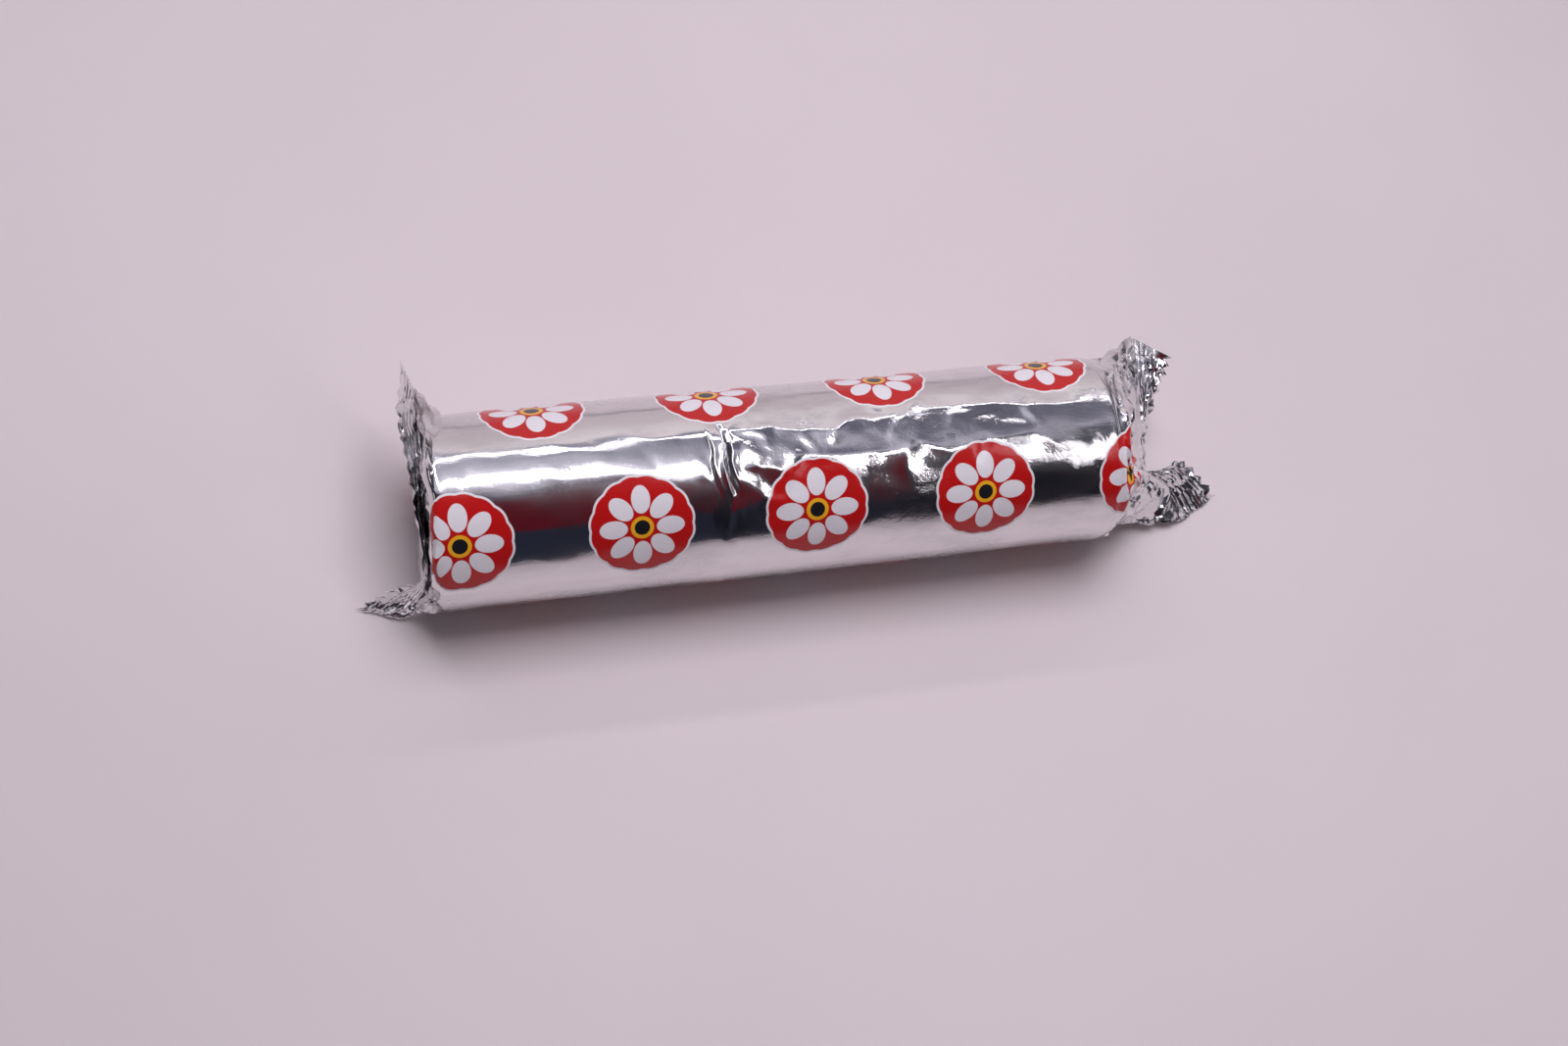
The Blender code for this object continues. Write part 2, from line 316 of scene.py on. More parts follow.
# How the film between each rim and its seal is crumpled by the cloth simulation
crumple = {
    "scale": 20,  # the simulation runs this many times larger, because cloth is made for larger things
    "columns": 168,
    "rowStep": 0.76,
    "heldRows": 3,  # of the body and of the seal, which hold the film's two edges
    "spare": 0.05,  # of its length, how much longer the film is than the way that it takes to the seal
    "frames": 40,
    "roughen": 0.35,  # mm, the uneven start from which the spare film buckles
    "roughenWidth": 1.2,
    "lowest": 0.25,  # mm over the table
    "tension": 60,
    "shear": 30,
    "bending": 2,
    "damping": 4,
    "gap": 0.2,
    "friction": 5,
    "furthest": 6.0,  # mm, no point moves further than this from the plain shape
}


def gridSample(grid, rowAt, columnAt):
    # Smooth values between the points of a grid. Columns close into a ring
    rows, columns = grid.shape[:2]

    def weights(t):
        return np.stack((
            -0.5 * t + t**2 - 0.5 * t**3, 1 - 2.5 * t**2 + 1.5 * t**3,
            0.5 * t + 2 * t**2 - 1.5 * t**3, -0.5 * t**2 + 0.5 * t**3,
        ))

    r = np.clip(np.floor(rowAt).astype(int), 0, rows - 2)
    rowWeights = weights(rowAt - r)
    between = sum(rowWeights[k][:, None, None] * grid[np.clip(r + k - 1, 0, rows - 1)] for k in range(4))
    c = np.floor(columnAt).astype(int)
    columnWeights = weights(columnAt - c)
    return sum(columnWeights[k][None, :, None] * between[:, (c + k - 1) % columns] for k in range(4))


def collider(name, makeIt):
    deselectAll()
    makeIt()
    obj = bpy.context.object
    obj.name = name
    bpy.ops.object.modifier_add(type="COLLISION")
    obj.collision.thickness_outer = 0.003
    obj.collision.cloth_friction = crumple["friction"]
    return obj


def tubeSheet(rows, angles):
    # A grid closed into a tube, and the row and column of each of its points
    count = len(angles)
    deselectAll()
    bpy.ops.mesh.primitive_grid_add(x_subdivisions=rows - 1, y_subdivisions=count, size=1)
    sheet = bpy.context.object
    mesh = sheet.data
    flat = readPlaces(mesh)
    row = np.rint((flat[:, 0] + 0.5) * (rows - 1)).astype(int)
    column = np.rint((flat[:, 1] + 0.5) * count).astype(int)
    width = 30  # wide enough to keep the columns apart while its long edges are merged
    spot = column % count
    tube = np.stack((row * 1.0, np.cos(angles)[spot] * width, np.sin(angles)[spot] * width), axis=-1)
    mesh.vertices.foreach_set("co", tube.ravel())
    bpy.ops.object.mode_set(mode="EDIT")
    bpy.ops.mesh.select_all(action="SELECT")
    bpy.ops.mesh.remove_doubles(threshold=0.001)
    bpy.ops.object.mode_set(mode="OBJECT")
    kept = readPlaces(mesh)
    row = np.rint(kept[:, 0]).astype(int)
    turn = np.arctan2(kept[:, 2], kept[:, 1]) - math.radians(film["sealTurn"])
    return sheet, row, np.rint(turn / (2 * math.pi) * count).astype(int) % count


def readPlaces(mesh):
    places = np.empty(len(mesh.vertices) * 3)
    mesh.vertices.foreach_get("co", places)
    return places.reshape(-1, 3)


def setCloth(cloth, rest, scale):
    c = crumple
    settings = cloth.settings
    settings.rest_shape_key = rest
    settings.quality = 8
    settings.mass = 0.1
    settings.tension_stiffness = settings.compression_stiffness = c["tension"]
    settings.shear_stiffness = c["shear"]
    settings.bending_stiffness = c["bending"]
    settings.tension_damping = settings.compression_damping = settings.shear_damping = c["damping"]
    settings.bending_damping = 0.5
    settings.air_damping = 2
    settings.vertex_group_mass = "held"
    settings.pin_stiffness = 10
    settings.effector_weights.gravity = 0
    cloth.collision_settings.collision_quality = 3
    cloth.collision_settings.distance_min = c["gap"] * scale
    cloth.collision_settings.use_self_collision = True
    cloth.collision_settings.self_distance_min = c["gap"] * scale
    cloth.collision_settings.self_friction = c["friction"]
    cloth.point_cache.frame_start = 1
    cloth.point_cache.frame_end = c["frames"]


def crumpleEnd(end):
    # Returns the crumpled film of this end as a function of distance past the rim and column
    c = crumple
    scale = c["scale"] * mm
    side = end["side"]
    half = film["bodyLength"] / 2
    radius = film["radius"]
    count = c["columns"]
    step = end["length"] / round(end["length"] / c["rowStep"])
    distances = np.arange(-c["heldRows"], round(end["length"] / step) + c["heldRows"] + 1) * step
    columns = np.arange(count) * film["columns"] / count
    angles = math.radians(film["sealTurn"]) + 2 * math.pi * columns / film["columns"]
    rim = bodyPoints(np.array([side * half]), angles, 0)[0]
    inner = distances < -1e-6
    outer = distances > end["length"] + 1e-6
    between = ~inner & ~outer
    guide = np.zeros((len(distances), count, 3))
    guide[inner] = bodyPoints(side * (half + distances[inner]), angles, 0)
    guide[between] = shoulderPoints(end, rim, columns, distances[between])
    guide[outer] = bandPoints(end, columns, distances[outer] - end["length"])[0]
    # The unloaded film is a plain tube, a little longer than the way from the rim to the seal
    way = np.linalg.norm(np.diff(guide[between], axis=0), axis=-1).sum(axis=0)
    spare = c["spare"] * smoothStep(0.02, 0.2, columnShare(columns))
    stretch = np.minimum(way * (1 + spare) / end["length"], 1)
    flat = np.stack(np.broadcast_arrays(
        side * (half + distances[:, None] * np.where(between[:, None], stretch, 1)),
        radius * np.cos(angles), radius * np.sin(angles) + film["axisHeight"],
    ), axis=-1)
    flat[outer, :, 0] += (side * end["length"] * (stretch - 1))[None, :]
    rng = np.random.default_rng(5 + side)
    noise = softNoise(rng, (len(distances), count, 3), c["roughenWidth"] / step, c["roughenWidth"] / step)
    free = (distances > 1e-6) & (distances < end["length"] - 1e-6)
    # The film is held at the rim and the seal, and less and less where the roll's edge still shapes it
    hold = np.where(free, (1 - smoothStep(end["straight"], end["pillow"], distances)) ** 0.3, 1.0)
    uneven = noise * c["roughen"] * free[:, None, None]
    start = guide + uneven
    start[..., 2] = np.maximum(start[..., 2], c["lowest"])

    sheet, row, column = tubeSheet(len(distances), angles)
    sheet.shape_key_add(name="start")
    rest = sheet.shape_key_add(name="flat")
    sheet.data.shape_keys.key_blocks["start"].data.foreach_set("co", (start[row, column] * scale).ravel())
    rest.data.foreach_set("co", (flat[row, column] * scale).ravel())
    held = sheet.vertex_groups.new(name="held")
    for i, r in enumerate(row):
        if hold[r] > 0:
            held.add([i], float(hold[r]), "ADD")
    bpy.ops.object.modifier_add(type="CLOTH")
    setCloth(sheet.modifiers[-1], rest, scale)

    def tabletFace():
        bpy.ops.mesh.primitive_cylinder_add(
            vertices=64, radius=19.6 * scale, depth=20 * scale, rotation=(0, math.pi / 2, 0),
            location=(side * (half - 10.6) * scale, 0, film["axisHeight"] * scale),
        )

    def table():
        bpy.ops.mesh.primitive_plane_add(size=200 * scale, location=(side * half * scale, 0, 0))

    helpers = [collider("tabletFace", tabletFace), collider("table", table)]
    scene = bpy.context.scene
    for number in range(1, c["frames"] + 1):
        scene.frame_set(number)
    evaluated = sheet.evaluated_get(bpy.context.evaluated_depsgraph_get())
    result = np.zeros_like(guide)
    result[row, column] = readPlaces(evaluated.data) / scale
    result -= uneven * hold[:, None, None]
    moved = np.linalg.norm(result - guide, axis=-1, keepdims=True)
    result = guide + (result - guide) * np.minimum(1, c["furthest"] / np.maximum(moved, 1e-6))
    scene.frame_set(1)
    for obj in (sheet, *helpers):
        bpy.data.objects.remove(obj, do_unlink=True)

    def sample(atDistance, atColumn):
        rowAt = (np.asarray(atDistance) - distances[0]) / step
        return gridSample(result, rowAt, np.asarray(atColumn) * count / film["columns"])

    print("film end crumpled, moved by up to", round(float(moved[free].max()), 1), "mm")
    return sample


# How the crumpled film takes the flat faces and sharp folds of foil
foilFolds = {
    "angle": 0.35,  # between neighbouring faces, in radians, that counts as a fold
    "rounds": 6,
    "pulls": 6,  # towards the flattened faces in each round
    "sharpest": 12,  # degrees: a fold of the ends that bends more is drawn as a crease
    "creaseStretch": 1.8,  # how much longer than wide the facets of the creases are
    "taut": (0.02, 0.16),  # of the way round from the seals' back corner, where the creases set in
}


def sharpenFolds(places, held):
    # Flattens the film between its folds and sharpens the folds. places: rows, columns in a ring
    rows = places.shape[0]

    def shifted(values, down, across):
        return np.roll(values[np.clip(np.arange(rows - 1) + down, 0, rows - 2)], -across, axis=1)

    for _ in range(foilFolds["rounds"]):
        after = np.roll(places, -1, 1)
        a, b, c, d = places[:-1], after[:-1], after[1:], places[1:]
        normal = np.cross(c - a, d - b)
        area = np.linalg.norm(normal, axis=-1, keepdims=True) + 1e-9
        normal = normal / area
        total = np.zeros_like(normal)
        for down in range(-2, 3):
            for across in range(-2, 3):
                other = shifted(normal, down, across)
                apart = ((other - normal) ** 2).sum(axis=-1, keepdims=True)
                total += other * shifted(area, down, across) * np.exp(-apart / (2 * foilFolds["angle"]**2))
        wanted = unit(total)
        for _ in range(foilFolds["pulls"]):
            after = np.roll(places, -1, 1)
            centre = (places[:-1] + after[:-1] + after[1:] + places[1:]) / 4
            move = np.zeros_like(places)
            for down in (0, 1):
                for across in (0, 1):
                    faces = slice(down, rows - 1 + down)
                    corner = (places if across == 0 else after)[faces]
                    pull = wanted * ((centre - corner) * wanted).sum(axis=-1, keepdims=True)
                    move[faces] += np.roll(pull, across, 1)
            move[1:-1] /= 4
            places = np.where(held[:, None, None], places, places + move)
    return places


def addCreases(end, places, distances):
    # Crumples the film between the rim and the seal. places: rows, columns in a ring
    length = end["length"]
    girth = 2 * math.pi * film["radius"]
    around = girth * np.arange(film["columns"]) / film["columns"]
    down = np.gradient(places, axis=0)
    across = np.roll(places, -1, 1) - np.roll(places, 1, 1)
    normal = unit(np.cross(down, across))
    # The normals have to point away from the roll's axis
    inward = film["axisHeight"] * np.array((0, 0, 1)) - places
    inward[..., 0] = 0
    normal = normal * -np.sign((normal[3] * inward[3]).sum(axis=-1).mean())
    fade = smoothStep(end["straight"] * 0.5, end["pillow"], distances)
    fade = fade * (1 - smoothStep(length - 3, length - 0.5, distances))
    taut = smoothStep(*foilFolds["taut"], columnShare(np.arange(film["columns"])))
    rng = np.random.default_rng(21 + end["side"])
    for size, depth in end["creases"]:
        heights = creasedHeights(rng, distances / foilFolds["creaseStretch"], around, size, girth)
        places = places + normal * (heights * depth * fade[:, None] * taut)[..., None]
    places[..., 2] = np.maximum(places[..., 2], 0.15)
    return places


# Wrinkles of the film on the roll: points (x in mm, degrees from the back over the top), height, width in mm
wrinkles = (
    (((-15, 83), (-10, 83), (-5.6, 80), (-3.4, 84), (0.3, 86), (8.4, 88), (11.8, 81), (20, 82), (23.5, 77)),
     0.30, 1.1),
    (((23.5, 77), (27.6, 71), (28.5, 79), (36, 79), (44, 79), (50, 83), (60, 84), (68, 86)), 0.24, 1.2),
    (((-14.3, 105), (-10, 106), (-6, 107), (-3.7, 111), (-0.6, 100), (4.3, 103), (15, 104), (22, 104)),
     0.32, 1.0),
    (((22, 104), (25.5, 98), (27.3, 102), (31.6, 108), (38.5, 104), (51, 101), (56, 110), (66, 108)),
     0.26, 1.1),
    (((11.8, 80), (8.6, 89), (6.5, 97)), 0.35, 0.7),
    (((27.6, 68), (25, 80), (21, 90), (19, 98)), 0.40, 0.8),
    (((-3.7, 113), (-2, 105), (-0.6, 97)), 0.40, 0.6),
    (((24.5, 99), (22.5, 108), (21.5, 119)), 0.28, 0.7),
    (((-5.6, 78), (-7, 88), (-6.5, 97)), 0.25, 0.7),
    (((-12, 90), (-9, 99), (-10, 108)), 0.30, 0.7),
    (((0.3, 86), (2.5, 95), (4.3, 103)), 0.22, 0.6),
    (((36, 79), (33, 93), (31.6, 109)), 0.20, 0.9),
    (((50, 83), (53, 96), (56, 111)), 0.20, 0.9),
    (((-13.5, 112), (-9, 122), (-10.7, 134)), 0.16, 0.8),
    (((-3.5, 113), (-5.5, 123), (-4.7, 131)), 0.16, 0.8),
    (((-15.4, 121), (-16, 135), (-17.2, 148)), -0.22, 0.5),
    (((-36, 77), (-30, 83), (-24, 82)), 0.10, 1.0),
    (((-60, 88), (-48, 86), (-38, 88)), 0.08, 1.4),
    (((-55, 100), (-40, 103), (-28, 101)), 0.08, 1.2),
    (((-22, 96), (-20, 104), (-21, 112)), 0.16, 0.8),
)
# The fold that stands up near the middle. Its section gives the film before and after its crest, how far
# that moves to the right, and its height, in mm
pinch = {
    "line": ((-17.0, 76), (-16.6, 83), (-16.4, 95), (-17.0, 101), (-16.6, 109), (-15.3, 121)),
    "section": (
        (-2.7, 0, 0), (-2.2, 0, -0.02), (-1.95, 0.05, 0.3), (-1.7, 0.1, 0.42), (-0.9, 0.2, 0.36),
        (-0.3, 0.35, 0.44), (0, 0.4, 0.54), (0.2, 0.3, 0.2), (0.5, -0.2, -0.5), (1.0, -0.4, -0.95),
        (1.6, -0.3, -0.5), (2.2, 0, 0.12), (3.0, 0, 0),
    ),
    "notch": (0.42, 0.07, 0.25),  # along the line, how wide and how deep the crest dips
}
# The film between the wrinkles
looseFilm = {
    "front": (50, 70),  # degrees, where the loose film sets in behind the top
    "end": (125, 150),  # and where it lies close again, down the front
    "wave": (3.5, 3.0, 0.018, 0.03),  # rows, columns, height everywhere and what the loose film adds
    "swell": (9, 6, 0.05),
    "facet": (3.6, 0.12, 1.3),  # size, height, and how much longer than wide
}


def nearLine(x, turn, line):
    # Distance in mm of each point from a line of (x, degrees), and how far along it the nearest place is
    arc = math.radians(1) * film["radius"]
    best, at = np.full(x.shape, 1e9), np.zeros(x.shape)
    spans = [math.hypot(b[0] - a[0], (b[1] - a[1]) * arc) for a, b in zip(line, line[1:])]
    passed = 0
    for a, b, span in zip(line, line[1:], spans):
        dx, dt = (b[0] - a[0]) / span, (b[1] - a[1]) * arc / span
        along = np.clip((x - a[0]) * dx + (turn - a[1]) * arc * dt, 0, span)
        away = np.hypot(x - a[0] - along * dx, (turn - a[1]) * arc - along * dt)
        closer = away < best
        best = np.where(closer, away, best)
        at = np.where(closer, (passed + along) / sum(spans), at)
        passed += span
    return best, at


def bodyLift(stations, angles):
    # Height of the film over the plain roll, in mm
    x, turn = np.meshgrid(stations, np.degrees(angles), indexing="ij")
    rng = np.random.default_rng(3)
    lift = np.zeros(x.shape)
    ring = slice(0, len(angles) - 1)
    shape = lift[:, ring].shape
    end = looseFilm["end"]
    rowWidth, columnWidth, low, more = looseFilm["wave"]
    rough = more * smoothStep(-20, -10, x[:, ring]) * smoothStep(55, 80, turn[:, ring])
    rough = low + rough * (1 - smoothStep(*end, turn[:, ring]))
    waves = softNoise(rng, shape, rowWidth, columnWidth) * rough
    rowWidth, columnWidth, height = looseFilm["swell"]
    lift[:, ring] = waves + softNoise(rng, shape, rowWidth, columnWidth) * height
    # Loose film between the wrinkles lies in flat facets
    loose = smoothStep(-18, -12, x) * (0.35 + 0.65 * (1 - smoothStep(35, 60, x)))
    loose = 0.2 + 0.8 * loose * smoothStep(*looseFilm["front"], turn) * (1 - smoothStep(*end, turn))
    around = 2 * math.pi * film["radius"]
    arc = around * (np.arange(len(angles) - 1) / (len(angles) - 1))
    size, height, longer = looseFilm["facet"]
    facets = creasedHeights(np.random.default_rng(31), stations / longer, arc, size, around)
    lift[:, ring] += facets * loose[:, ring] * height
    for line, height, width in wrinkles:
        away, at = nearLine(x, turn, line)
        taper = np.clip(np.sin(math.pi * np.clip(at, 0.02, 0.98)) * 2.2, 0, 1)
        lift += height * taper * (np.exp(-np.sqrt(away**2 + 0.2**2) / width))
    lift[:, -1] = lift[:, 0]
    half = film["bodyLength"] / 2
    return lift * smoothStep(0, 3, half - np.abs(x))


def pinchShape(stations, angles):
    # Lift of the pinched fold, and how far its crest leans over to the right, in mm
    x, turn = np.meshgrid(stations, np.degrees(angles), indexing="ij")
    line = np.array(pinch["line"])
    middle = np.interp(turn, line[:, 1], line[:, 0])
    share = np.clip((turn - line[0, 1]) / (line[-1, 1] - line[0, 1]), 0, 1)
    at, width, depth = pinch["notch"]
    body = np.sin(math.pi * share) ** 0.7 * (1 - depth * np.exp(-((share - at) / width) ** 2))
    away, shift, height = np.transpose(pinch["section"])
    lift = body * np.interp(x - middle, away, height)
    lean = body * np.interp(x - middle, away, shift)
    return lift, lean


def filmPlaces(stations, columns):
    # Every point of the film in mm, and how far along the flat sheet it lies
    angles = math.radians(film["sealTurn"]) + 2 * math.pi * columns / film["columns"]
    half = film["bodyLength"] / 2
    onBody = np.abs(stations) <= half + 1e-9
    fold, lean = pinchShape(stations[onBody], angles)
    body = bodyPoints(stations[onBody], angles, bodyLift(stations[onBody], angles) + fold)
    body[..., 0] += lean
    flatAlong = np.broadcast_to(stations[:, None], (len(stations), len(columns))).copy()
    places = np.zeros((len(stations), len(columns), 3))
    places[onBody] = body
    for end, rim in ((leftEnd, body[0]), (rightEnd, body[-1])):
        side = end["side"]
        distance = side * stations - half
        onShoulder = (distance > 1e-9) & (distance <= end["length"] + 1e-9)
        onBand = distance > end["length"] + 1e-9
        places[onBand], reach = bandPoints(end, columns, distance[onBand] - end["length"])
        flatAlong[onBand] = side * (half + end["length"] + reach)
        places[onShoulder] = crumpleEnd(end)(distance[onShoulder], columns % film["columns"])
        shoulderRows = np.nonzero(onShoulder)[0]
        region = np.arange(shoulderRows[0] - 3, shoulderRows[-1] + 4)
        ring = places[region, :-1]
        pastRim = side * stations[region] - half
        crumpled = smoothStep(end["straight"], end["straight"] + 3, pastRim)[:, None, None]
        ring = ring + crumpled * (sharpenFolds(ring, ~onShoulder[region]) - ring)
        ring = addCreases(end, ring, pastRim)
        places[region] = np.concatenate((ring, ring[:, :1]), axis=1)
    return places, flatAlong


def buildFilm():
    stations = filmRows()
    columns = np.arange(film["columns"] + 1)
    places, flatAlong = filmPlaces(stations, columns)
    deselectAll()
    bpy.ops.mesh.primitive_grid_add(x_subdivisions=len(stations) - 1, y_subdivisions=len(columns) - 1, size=1)
    sheet = bpy.context.object
    sheet.name = sheet.data.name = "filmWrapper"
    mesh = sheet.data
    flat = readPlaces(mesh)
    row = np.rint((flat[:, 0] + 0.5) * (len(stations) - 1)).astype(int)
    column = np.rint((flat[:, 1] + 0.5) * (len(columns) - 1)).astype(int)
    # The print's map is the flat sheet, 100 mm to a unit
    corner = np.empty(len(mesh.loops), int)
    mesh.loops.foreach_get("vertex_index", corner)
    arc = 2 * math.pi * film["radius"] * columns / film["columns"]
    uv = np.stack((flatAlong[row, column], arc[column]), axis=-1)[corner] / 100
    mesh.uv_layers.active.data.foreach_set("uv", uv.ravel())
    mesh.vertices.foreach_set("co", (places[row, column] * mm).ravel())
    mesh.update()
    # The sheet's long edges meet, and so do the two layers at the cut edges
    bpy.ops.object.mode_set(mode="EDIT")
    bpy.ops.mesh.select_all(action="SELECT")
    bpy.ops.mesh.remove_doubles(threshold=0.000002)
    bpy.ops.mesh.normals_make_consistent(inside=False)
    bpy.ops.object.mode_set(mode="OBJECT")
    mesh.shade_smooth()
    mesh.set_sharp_from_angle(angle=math.radians(foilFolds["sharpest"]))
    # Only the crumpled ends show sharp creases
    sharp = np.empty(len(mesh.edges), bool)
    mesh.attributes["sharp_edge"].data.foreach_get("value", sharp)
    ends = np.empty(len(mesh.edges) * 2, int)
    mesh.edges.foreach_get("vertices", ends)
    x = readPlaces(mesh)[:, 0][ends].reshape(-1, 2).mean(axis=1) / mm
    half = film["bodyLength"] / 2
    sharp &= (x < -half - leftEnd["straight"]) | (x > half + rightEnd["straight"])
    mesh.attributes["sharp_edge"].data.foreach_set("value", sharp)
    deselectAll()
    return sheet


def newMaterial(name):
    material = bpy.data.materials.new(name)
    material.use_nodes = True
    material.node_tree.nodes.clear()
    return material


class Nodes:
    # A short way to add and link nodes
    def __init__(self, tree):
        self.tree = tree

    def fill(self, node, inputs):
        for key, value in inputs.items():
            if isinstance(value, bpy.types.NodeSocket):
                self.tree.links.new(value, node.inputs[key])
            else:
                node.inputs[key].default_value = value
        return node

    def add(self, kind, inputs=(), **settings):
        node = self.tree.nodes.new(kind)
        for key, value in settings.items():
            setattr(node, key, value)
        return self.fill(node, dict(inputs))

    def math(self, operation, *values):
        return self.add("ShaderNodeMath", dict(enumerate(values)), operation=operation).outputs[0]

    def product(self, first, *others):
        for other in others:
            first = self.math("MULTIPLY", first, other)
        return first

    def rest(self, value):
        return self.math("SUBTRACT", 1.0, value)

    def step(self, value, low, high):
        node = self.add("ShaderNodeMapRange", {0: value, 1: low, 2: high}, interpolation_type="SMOOTHSTEP")
        return node.outputs[0]

    def spread(self, value, low, high, start=0.0, stop=1.0):
        return self.add("ShaderNodeMapRange", {0: value, 1: start, 2: stop, 3: low, 4: high}).outputs[0]

    def mixColour(self, factor, first, second):
        node = self.add("ShaderNodeMix", data_type="RGBA")
        return self.fill(node, {0: factor, 6: first, 7: second}).outputs[2]


inkColours = {
    "red": (0.50, 0.010, 0.010, 1),
    "white": (0.78, 0.75, 0.79, 1),
    "black": (0.012, 0.012, 0.014, 1),
    "yellow": (0.85, 0.42, 0.02, 1),
}
# The flowers on the film, in mm on the flat sheet
printPattern = {
    "along": 37.0,
    "around": 64.09,
    "firstAlong": 2.5,
    "firstAround": 31.7,
    "discRadius": 10.9,
    "scallops": 8.0,
    "scallopDepth": 0.3,
    "rim": 0.5,
    "petals": 8,
    "petalMiddle": 5.9,
    "petalHalfLength": 2.9,
    "petalHalfWidth": 1.95,
    "centreRadius": 2.4,
    "dotRadius": 1.6,
    "soft": 0.08,  # width over which the disc's edges blend
    "furthest": 90.0,  # no disc is centred further than this from the film's middle, so the seals stay bare
}
foilFinish = {
    "bright": (0.81, 0.795, 0.805, 1),
    "dulled": (0.64, 0.62, 0.63, 1),  # where dust and rubbing have dulled it
    "roughness": (0.09, 0.17),  # bright and dulled
    "inkRoughness": 0.17,
    "smudgeScale": 95.0,
    "peel": 1300.0,
    "pimples": (420.0, 0.16, 0.4),  # scale, size and height of the grains that press through
    "grit": (3600.0, 1.8),
    "looser": (0.2, 0.5),  # bump to the left of the pinch and to its right
    "bump": 0.00004,  # metres
    "haze": (0.2, 1.0),
    "hazeRoughness": 0.30,
    "hazeIndex": 2.5,
}


def printedDiscs(n, u, v):
    # Colour of the print, and 1 where there is print
    p = printPattern
    soft = p["soft"]

    def latticeOffset(value, period, first):
        cells = n.math("DIVIDE", n.math("SUBTRACT", n.math("MULTIPLY", value, 100.0), first), period)
        part = n.math("SUBTRACT", cells, n.math("ROUND", cells))
        return n.math("MULTIPLY", part, period)

    spots = []
    for shift in (0, 0.5):
        a = latticeOffset(u, p["along"], p["firstAlong"] + shift * p["along"])
        b = latticeOffset(v, p["around"], p["firstAround"] + shift * p["around"])
        r = n.math("SQRT", n.math("ADD", n.math("MULTIPLY", a, a), n.math("MULTIPLY", b, b)))
        spots.append((a, b, r))
    near = n.math("LESS_THAN", spots[0][2], spots[1][2])

    def nearest(i):
        return n.math("ADD", n.product(near, spots[0][i]), n.product(n.rest(near), spots[1][i]))

    a, b, r = nearest(0), nearest(1), nearest(2)
    centre = n.math("ABSOLUTE", n.math("SUBTRACT", n.math("MULTIPLY", u, 100.0), a))
    turn = n.math("ARCTAN2", b, a)
    petalTurn = 2 * math.pi / p["petals"]
    petal = n.math("DIVIDE", turn, petalTurn)
    petal = n.math("MULTIPLY", n.math("SUBTRACT", petal, n.math("ROUND", petal)), petalTurn)
    along = n.math("SUBTRACT", n.product(r, n.math("COSINE", petal)), p["petalMiddle"])
    along = n.math("DIVIDE", along, p["petalHalfLength"])
    across = n.math("DIVIDE", n.product(r, n.math("SINE", petal)), p["petalHalfWidth"])
    leaf = n.math("ADD", n.math("MULTIPLY", along, along), n.math("MULTIPLY", across, across))
    wave = n.math("ABSOLUTE", n.math("SINE", n.math("MULTIPLY", turn, p["scallops"])))
    outer = n.math("SUBTRACT", r, n.math("MULTIPLY", wave, p["scallopDepth"]))
    isPrint = n.rest(n.step(outer, p["discRadius"] - soft, p["discRadius"]))
    isPrint = n.product(isPrint, n.math("LESS_THAN", centre, p["furthest"]))
    rim = p["discRadius"] - p["rim"]
    colour = n.mixColour(n.rest(n.step(leaf, 0.94, 1.06)), inkColours["red"], inkColours["white"])
    colour = n.mixColour(n.step(outer, rim - soft, rim), colour, inkColours["white"])
    for radius, ink in ((p["centreRadius"], "yellow"), (p["dotRadius"], "black")):
        inside = n.rest(n.step(r, radius - 0.05, radius + 0.05))
        colour = n.mixColour(inside, colour, inkColours[ink])
    return colour, isPrint


